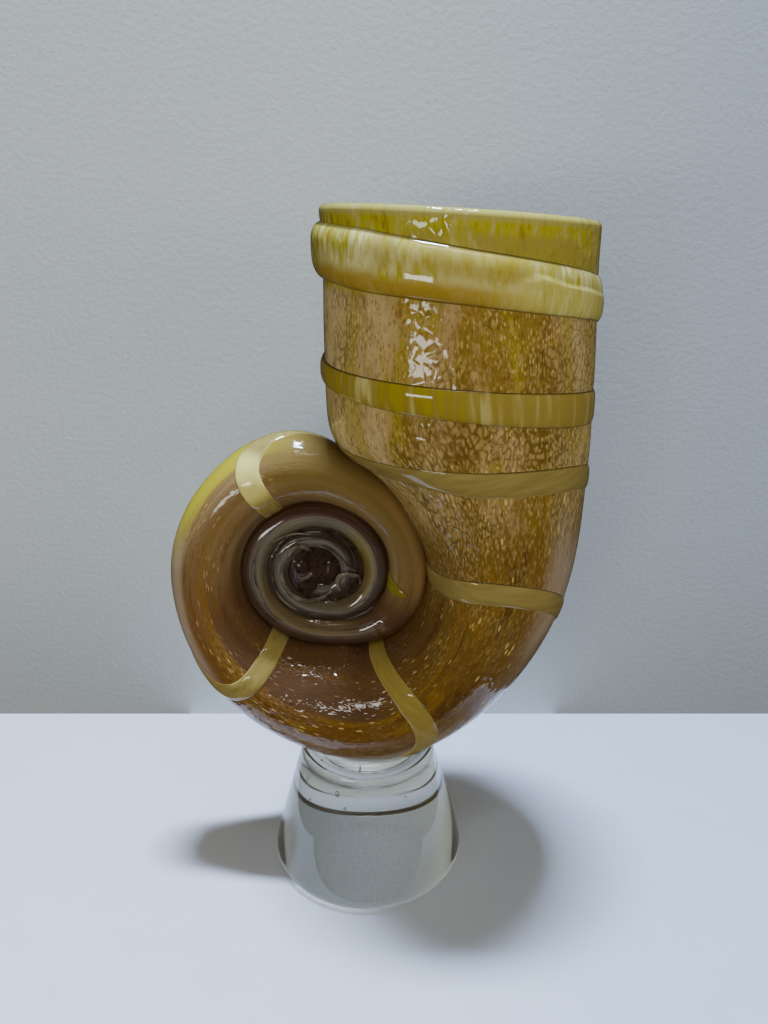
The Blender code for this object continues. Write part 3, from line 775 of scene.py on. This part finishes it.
tailLook = Look({
    "starts": 396, "rows": 420, "sides": 28, "domeRings": 5,
    "voxel": 0.5, "smooths": 2,  # the turns are fused into one skin at this grain, mm
    "close": 1.1, "coreClose": 0.5,  # how far touching turns press together, mm
    # degrees, share of the tail's thickness that the sealed-in colour fills
    "core": ((392, 0.92), (440, 0.90), (560, 0.86), (700, 0.86), (800, 0.84), (1000, 0.70), (1130, 0.56),
             (1290, 0.50)),
    "coreRows": 420, "coreSides": 24,
    "plugRadius": 25.0, "plugDepth": 0.9, "plugRings": 16, "plugSides": 48,

    # fine ridges of pale glass: thickest radius, then X and Z from the heart of each point
    "ridges": (
        (1.30, (-12.7, 9.0), (-10.6, 12.8), (-7.0, 13.9), (-4.2, 12.4), (-3.0, 9.6)),
        (1.20, (-15.0, 5.6), (-16.0, 1.8), (-15.6, -2.6), (-12.7, -8.5), (-8.2, -11.5), (-1.8, -12.2),
         (4.0, -9.4), (6.4, -6.8)),
        (1.00, (-3.0, 9.6), (-1.6, 5.0), (-2.6, 0.6), (-6.0, -1.6), (-9.4, -1.0)),
        (1.50, (6.4, 6.4), (5.0, 5.0), (4.3, 1.0), (5.4, -2.4)),
        (0.70, (2.0, 14.4), (5.4, 12.4), (10.4, 7.6), (17.4, 1.2)),
        (0.30, (-16.5, 25.0), (-23.0, 17.7), (-27.2, 9.7), (-28.2, 0.9), (-26.0, -8.5), (-22.2, -17.0),
         (-16.5, -21.4)),
        (0.26, (-10.8, -22.4), (-0.6, -25.4), (9.6, -26.0), (20.6, -23.6), (29.4, -17.6)),
        (0.50, (-22.0, 14.6), (-16.6, 17.8), (-9.0, 19.6), (-3.0, 19.4)),
        (0.55, (-20.6, 3.0), (-19.6, -5.0), (-15.4, -12.6), (-8.0, -17.4), (0.0, -19.0)),
        (0.55, (-18.0, 8.4), (-14.4, 13.8), (-8.0, 17.4), (0.0, 17.8), (8.0, 15.2)),
        (0.60, (25.2, -2.0), (23.0, -8.5), (18.4, -14.0), (9.0, -17.6)),
        (1.30, (10.2, -8.0), (8.8, -2.6), (12.4, 0.6), (17.6, -1.4), (19.0, -5.4)),
    ),
    "ridgeSides": 10, "ridgeSteps": 12, "ridgeEase": 9, "ridgeTip": 0.12, "ridgeFlat": 0.7,

    # dark pools between them, painted shade for the heart's hollows: X, Z, half-width, half-height, lean in
    # degrees
    "pools": ((-6.4, 5.6, 4.0, 5.2, -18), (1.2, 3.0, 2.7, 6.4, 12), (-4.8, -5.6, 4.6, 3.4, 20)),
    "poolDepth": 0.12, "poolRings": 12, "poolSides": 32,

    "tint": (0.90, 0.84, 0.70), "lampTint": (0.85, 0.83, 0.78), "roughness": 0.02, "ior": 1.5,
    # degrees and colour of the sealed-in glass: towards the heart, and on the outside of each turn, where
    # red-brown glass is darkened by painted shade in the crease against the turn around it
    "inner": ((392, (0.097, 0.048, 0.022)), (412, (0.097, 0.048, 0.022)), (430, (0.16, 0.105, 0.028)),
              (500, (0.14, 0.100, 0.036)), (560, (0.100, 0.080, 0.042)), (610, (0.140, 0.115, 0.060)),
              (650, (0.085, 0.070, 0.040)), (685, (0.16, 0.125, 0.012)), (725, (0.14, 0.105, 0.018)),
              (760, (0.115, 0.090, 0.045)), (900, (0.10, 0.088, 0.060)), (1080, (0.100, 0.088, 0.066)),
              (1180, (0.095, 0.080, 0.060)), (1290, (0.10, 0.07, 0.05))),
    "outer": ((392, (0.060, 0.029, 0.013)), (540, (0.045, 0.021, 0.010)), (640, (0.070, 0.018, 0.009)),
              (720, (0.045, 0.022, 0.012)), (800, (0.04, 0.028, 0.018)), (1290, (0.030, 0.016, 0.011))),
    "wisps": (260, 26), "fines": (700, 20),
    "fineLight": (0.24, 0.20, 0.15), "fineDark": (0.03, 0.02, 0.012),
    "wispLight": (0.20, 0.17, 0.13), "wispDark": (0.05, 0.03, 0.02),
    "ridgeTones": ((0.35, (0.045, 0.034, 0.024)), (0.65, (0.20, 0.17, 0.13))), "ridgeWaves": 180,
    "plugTones": ((0.35, (0.018, 0.009, 0.007)), (0.65, (0.050, 0.028, 0.020))), "plugWaves": 260,
})


def spiral(first, last, rows, sides, press, shares=((0, 1), (1, 1))):
    # rings down the coil; shares pairs lengths with how much of the full thickness is filled
    angle = around(sides)
    length = np.linspace(first, last, rows)[:, None]
    swell = pressTogether(length, angle, press)
    rings = form.point(length, angle, swell, np.interp(length, *zip(*shares)))
    return rings, length, angle


def buildTail(look):
    last = form.knots[-1]
    rings = spiral(form.lengthAt(look.starts), last, look.rows, look.sides, look.close * mm)[0]
    middle = rings[-1].mean(0)
    heading = unit(middle - rings[-2].mean(0))
    radius = form.row(last)[4]
    turn = math.pi / 2 * np.arange(1, look.domeRings + 1)[:, None, None] / (look.domeRings + 0.4)
    dome = middle + (rings[-1] - middle) * np.cos(turn) + heading * radius * np.sin(turn)
    mesh = wrapMesh("tail_glass", np.concatenate([rings, dome]))
    piece = addPiece("tail_glass", mesh, finishClear("smoky clear glass", look), ["coil_tail"])
    fuse = piece.modifiers.new("fuse", "REMESH")
    setAll(fuse, mode="VOXEL", voxel_size=look.voxel * mm, use_smooth_shade=True)
    setAll(piece.modifiers.new("ease", "SMOOTH"), factor=0.5, iterations=look.smooths)
    fused = bpy.data.meshes.new_from_object(piece.evaluated_get(bpy.context.evaluated_depsgraph_get()))
    piece.modifiers.clear()
    piece.data = fused
    fused.shade_smooth()
    return piece


def buildCore(look):
    shares = [(form.lengthAt(degrees), share) for degrees, share in look.core]
    rings, length, angle = spiral(shares[0][0], shares[-1][0], look.coreRows, look.coreSides,
                                  look.coreClose * mm, shares)
    extras = {"flow": flowAt(length, angle), "along": length + 0 * angle}
    addPiece("tail_core", wrapMesh("tail_core", rings, extras), finishCore(look))


def plugMesh(look):
    # the eye of the coil, dark where the drawn-out end folds in
    x, z, y = np.moveaxis(ballRings(look.plugRings, look.plugSides), -1, 0)
    heart, radius = form.shape.heart, look.plugRadius
    rings = [heart[0] + radius * x, look.plugDepth * y, heart[1] + radius * z]
    return wrapMesh("heart_plug", np.stack(rings, -1) * mm)


def surfaceY(tree, x, z):
    # how far forward the tail's skin lies at each place
    hits = [tree.ray_cast(Vector((a, -0.1, b)), Vector((0, 1, 0)))[0] for a, b in zip(x.ravel(), z.ravel())]
    return np.array([hit.y if hit else 0.0 for hit in hits]).reshape(x.shape)


def ridgeMesh(look, tree, radius, points):
    # one strand along the tail's skin, thin at both ends
    path = smoothRows(range(len(points)), (np.array(points) + form.shape.heart) * mm)
    x, z = path(np.linspace(0, len(points) - 1, look.ridgeSteps * len(points))).T
    ease = look.ridgeEase
    y = np.convolve(np.pad(surfaceY(tree, x, z), ease // 2, "edge"), np.ones(ease) / ease, "valid")
    centre = np.stack([x, y, z], -1)
    ahead = unit(np.gradient(centre, axis=0))
    across = unit(np.cross(ahead, (0.0, 1.0, 0.0)))
    rise = look.ridgeFlat * np.cross(across, ahead)
    share = np.linspace(0, 1, len(centre))
    thick = look.ridgeTip + (1 - look.ridgeTip) * np.sqrt(np.sin(math.pi * share).clip(0, 1))
    size = (radius * mm * thick)[:, None, None]
    sides = around(look.ridgeSides)[:, None]
    rings = centre[:, None] + size * (across[:, None] * np.cos(sides) + rise[:, None] * np.sin(sides))
    return wrapMesh("strand", rings)


def shadePoolMesh(look, tree, x, z, wide, tall, lean):
    # a flat dark drop that lies on the tail's skin, painted shade for a hollow
    heart = form.shape.heart
    a, b, deep = np.moveaxis(ballRings(look.poolRings, look.poolSides), -1, 0)
    a, b, tilt = wide * a, tall * b, math.radians(lean)
    px = (heart[0] + x + a * math.cos(tilt) - b * math.sin(tilt)) * mm
    pz = (heart[1] + z + a * math.sin(tilt) + b * math.cos(tilt)) * mm
    return wrapMesh("pool", np.stack([px, surfaceY(tree, px, pz) - look.poolDepth * mm * deep, pz], -1))


def buildHeart(look, tail):
    dark = finishPlug(look)
    addPiece("heart_plug", plugMesh(look), dark)
    tree = BVHTree.FromPolygons([vertex.co.copy() for vertex in tail.data.vertices],
                                [tuple(face.vertices) for face in tail.data.polygons])
    strands = [ridgeMesh(look, tree, radius, points) for radius, *points in look.ridges]
    addPiece("heart_ridges", joinMeshes("heart_ridges", strands), finishRidges(look))
    # painted shade: dark drops where the heart's hollows lie
    drops = [shadePoolMesh(look, tree, *pool) for pool in look.pools]
    addPiece("heart_shade_pools", joinMeshes("heart_shade_pools", drops), dark)


def finishRidges(look):
    skin = Finish("pale glass ridges")
    tone = skin.ramp(skin.noise(skin.place(), look.ridgeWaves), look.ridgeTones)
    return skin.surface(Base_Color=tone, Roughness=0.06, IOR=1.6)


def finishCore(look):
    skin = Finish("colour drawn into the tail")
    flow = skin.attribute("flow", "Vector")
    start, end = (form.lengthAt(look.core[k][0]) for k in (0, -1))
    share = (skin.attribute("along") - start) * (1 / (end - start))

    def stops(tones):
        return [(float((form.lengthAt(degrees) - start) / (end - start)), tone) for degrees, tone in tones]

    inner = skin.ramp(share, stops(look.inner))
    outer = skin.ramp(share, stops(look.outer))
    wisp = skin.clouds(flow, look.wisps, 3, 0.6, 0.5)
    outward = 0 - coilSideOf(skin, flow) + (wisp - 0.5) * 0.3
    # the outside of each turn: red-brown glass with painted shade
    skin.colour = skin.blend(outward.step(-0.02, 0.06), inner, outer)
    fine = skin.clouds(flow, look.fines, 3, 0.6, 0.2)
    skin.coat(fine.step(0.52, 0.64) * 0.35, look.fineLight)
    skin.coat((1 - fine.step(0.36, 0.48)) * 0.5, look.fineDark)
    skin.coat(wisp.step(0.54, 0.68) * 0.4, look.wispLight)
    skin.coat((1 - wisp.step(0.34, 0.46)) * 0.5, look.wispDark)
    return skin.surface(Base_Color=skin.colour, Roughness=0.35, IOR=1.45)


def finishPlug(look):
    skin = Finish("dark eye of the coil")
    mist = skin.noise(skin.place(), look.plugWaves, 3, 0.6, 1.0)
    relief = skin.bump(mist, 0.3 * mm, 0.4)
    return skin.surface(Base_Color=skin.ramp(mist, look.plugTones), Roughness=0.12, Normal=relief)


tail = buildTail(tailLook)
buildCore(tailLook)
buildHeart(tailLook, tail)
print("tail built")


# foot

footLook = Look({
    "baseRadius": 46.2, "flatRadius": 41.5, "edgeHeight": 5.5,
    "topRadius": 32.5, "sideHeight": 57.0, "height": 66.0,
    "sidePower": 1.08,  # over 1 makes the side a little hollow
    "shoulder": 0.7,  # share of the top radius where the round shoulder ends
    "underRings": (0.3, 0.6, 0.85, 0.97, 1.0), "topRings": (0.5, 0.25),
    "segments": 160, "edgeSteps": 8, "sideSteps": 32, "shoulderSteps": 16,
    # place, radius and upward stretch of each bubble
    "bubbles": ((-12, -20, 47, 1.1, 1.5), (-9, -24, 42, 0.7, 1.2), (14, -12, 40, 0.5, 1.0),
                (-3, -15, 52, 0.6, 1.0), (20, -18, 30, 0.45, 1.0), (-22, -10, 36, 0.5, 1.1),
                (6, 12, 45, 0.8, 1.3), (-15, 14, 30, 0.5, 1.0)),
    "bubbleRings": 12, "bubbleSides": 20,
    "tint": (0.76, 0.72, 0.60), "lampTint": (0.64, 0.64, 0.60), "roughness": 0.01, "ior": 1.5,
})


def footOutline(look):
    # radius and height from the underside's middle to the top's middle
    base, flat, top = look.baseRadius, look.flatRadius, look.topRadius
    under, over = np.array(look.underRings), np.array(look.topRings)
    edge = math.pi / 2 * np.arange(1, look.edgeSteps) / look.edgeSteps
    side = np.arange(look.sideSteps + 1) / look.sideSteps
    bend = math.pi / 2 * np.arange(1, look.shoulderSteps + 1) / look.shoulderSteps
    radius = np.concatenate([flat * under, flat + (base - flat) * np.sin(edge),
                             base + (top - base) * side ** look.sidePower,
                             top * (look.shoulder + (1 - look.shoulder) * np.cos(bend)), top * over])
    height = np.concatenate([0 * under, look.edgeHeight * (1 - np.cos(edge)),
                             look.edgeHeight + (look.sideHeight - look.edgeHeight) * side,
                             look.sideHeight + (look.height - look.sideHeight) * np.sin(bend),
                             0 * over + look.height])
    return radius[:, None] * mm, height[:, None] * mm


def bubbleMesh(look, x, y, z, radius, stretch):
    # an air bubble: a long ball whose faces look inward
    ball = ballRings(look.bubbleRings, look.bubbleSides) * (radius, radius, radius * stretch)
    bubble = wrapMesh("bubble", (ball + (x, y, z)) * mm)
    bubble.flip_normals()
    return bubble


def buildFoot(look):
    radius, height = footOutline(look)
    turn = around(look.segments)
    rings = np.stack([radius * np.cos(turn), radius * np.sin(turn), height + 0 * turn], -1)
    bubbles = [bubbleMesh(look, *bubble) for bubble in look.bubbles]
    whole = joinMeshes("foot_glass", [wrapMesh("foot_body", rings)] + bubbles)
    addPiece("foot_glass", whole, finishClear("clear foot glass", look), ["foot"])


buildFoot(footLook)
print("foot built")


# table, wall, lamps and camera

roomLook = Look({
    "wallAt": 0.118, "tableFront": -0.062, "tableSide": 0.12, "wide": 3.0, "airGap": 0.2,
    "tableLeft": (0.72, 0.75, 0.79), "tableRight": (0.52, 0.585, 0.69), "tableFade": (-0.20, 0.22),
    "wallLeft": (0.60, 0.66, 0.66), "wallRight": (0.42, 0.49, 0.60), "wallFade": (-0.05, 0.30),
    "wallLow": (0.34, 0.38, 0.40), "wallLowFade": (0.0, 0.16),
    "camera": (0.0079, -0.3227, 0.2827), "pitch": 18.0, "lens": 27.04,
    "sky": (1.0, 0.90, 0.76), "skyStrength": 0.06, "backdrop": (0.50, 0.54, 0.54),
    # place, aim, width, height, watts, tint
    "lamps": (
        ((0.02, 0.02, 1.45), (0.02, 0.0, 0.10), 0.26, 0.09, 40.0, (0.80, 0.98, 1.34)),
        ((-0.38, -0.65, 0.19), (0.0, 0.0, 0.20), 0.28, 0.08, 0.95, (1.0, 0.98, 0.92)),
        ((0.10, -0.60, 1.30), (0.0, 0.0, 0.25), 0.90, 0.04, 2.0, (1.0, 1.0, 1.0)),
        ((-0.30, -1.50, 0.30), (0.0, 0.0, 0.20), 1.00, 1.00, 10.0, (1.0, 0.93, 0.80)),
        ((0.75, -0.35, 0.34), (0.0, 0.0, 0.26), 1.00, 0.30, 2.2, (1.0, 0.95, 0.82)),
    ),
    "mirrored": 1.0,  # lamps narrower than this show in the glass, metres
})


def addSheet(name, places, faces, material):
    mesh = bpy.data.meshes.new(name)
    mesh.from_pydata(places, [], faces)
    mesh.materials.append(material)
    sheet = addObject(name, mesh)
    return sheet


def finishTable(look):
    top = Finish("white table")
    coords = top.place()
    # painted light: the table is paler on the left, darker and bluer on the right
    side = top.axis(coords, "X").step(*look.tableFade)
    grain = top.noise(coords, 40, 3) - 0.5
    colour = top.blend(side + grain * 0.3, look.tableLeft, look.tableRight)
    return top.surface(Base_Color=colour, Roughness=0.5)


def finishWall(look):
    paint = Finish("rolled wall paint")
    coords = paint.place()
    normal = paint.bump(paint.noise(coords, 330, 4, 0.6), 0.6 * mm, 0.3)
    # painted light: the wall is paler and greyer on the left, darker and bluer on the right
    colour = paint.blend(paint.axis(coords, "X").step(*look.wallFade), look.wallLeft, look.wallRight)
    # painted shadow: the wall darkens towards the table
    low = 1 - paint.axis(coords, "Z").step(*look.wallLowFade)
    colour = paint.blend(low * 0.5, colour, look.wallLow)
    paint.surface(Base_Color=colour, Roughness=0.6, Normal=normal)
    # clear from behind, so the back of the vase can be seen
    return paint.overlay(paint.add("NewGeometry").out("Backfacing"), paint.add("BsdfTransparent"))


def buildRoom(look):
    white = finishTable(look)
    wide, back, low = look.wide, look.wallAt, -look.airGap * mm
    across = (-wide, -look.tableSide, look.tableSide, wide)
    away = (-wide, look.tableFront, back, wide)
    places = [(x, y, low) for y in away for x in across]
    squares = [(k, k + 1, k + 5, k + 4) for k in range(11) if k % 4 < 3]
    addSheet("table", places, squares[4:5], white)

    # the floor round the table is there for the eye only, so the glass mirrors a dark room
    floor = addSheet("floor", places, squares[:4] + squares[5:], white)
    corners = [(-wide, back, low), (wide, back, low), (wide, back, wide), (-wide, back, wide)]
    wall = addSheet("wall", corners, [(0, 1, 2, 3)], finishWall(look))
    for sheet in (floor, wall):
        setAll(sheet, visible_diffuse=False, visible_glossy=False)
    wall.visible_shadow = False


def addLamp(name, place, aim, width, height, watts, tint):
    data = bpy.data.lights.new(name, "AREA")
    setAll(data, shape="RECTANGLE", size=width, size_y=height, energy=watts, color=tint)
    turned = (Vector(aim) - Vector(place)).to_track_quat("-Z", "Y").to_euler()
    mirrored = max(width, height) < roomLook.mirrored
    setAll(addObject(name, data), location=place, rotation_euler=turned, visible_camera=False,
           visible_transmission=False, visible_glossy=mirrored)


def addCamera(look):
    data = setAll(bpy.data.cameras.new("camera"), lens=look.lens, sensor_width=36.0, clip_start=0.01)
    turned = (math.radians(90 - look.pitch), 0.0, 0.0)
    bpy.context.scene.camera = setAll(addObject("camera", data), location=look.camera, rotation_euler=turned)


def addSky(look):
    sky = Finish("sky", "worlds", "Background", "World Output")
    sky.surface(Color=look.sky, Strength=look.skyStrength)
    # only the eye sees the pale backdrop past the wall's edge
    pale = sky.add("Background", {"Color": look.backdrop})
    bpy.context.scene.world = sky.overlay(sky.add("LightPath").out("Is Camera Ray"), pale)


buildRoom(roomLook)
for number, lamp in enumerate(roomLook.lamps):
    addLamp(f"lamp{number}", *lamp)
addCamera(roomLook)
addSky(roomLook)
print("room ready")
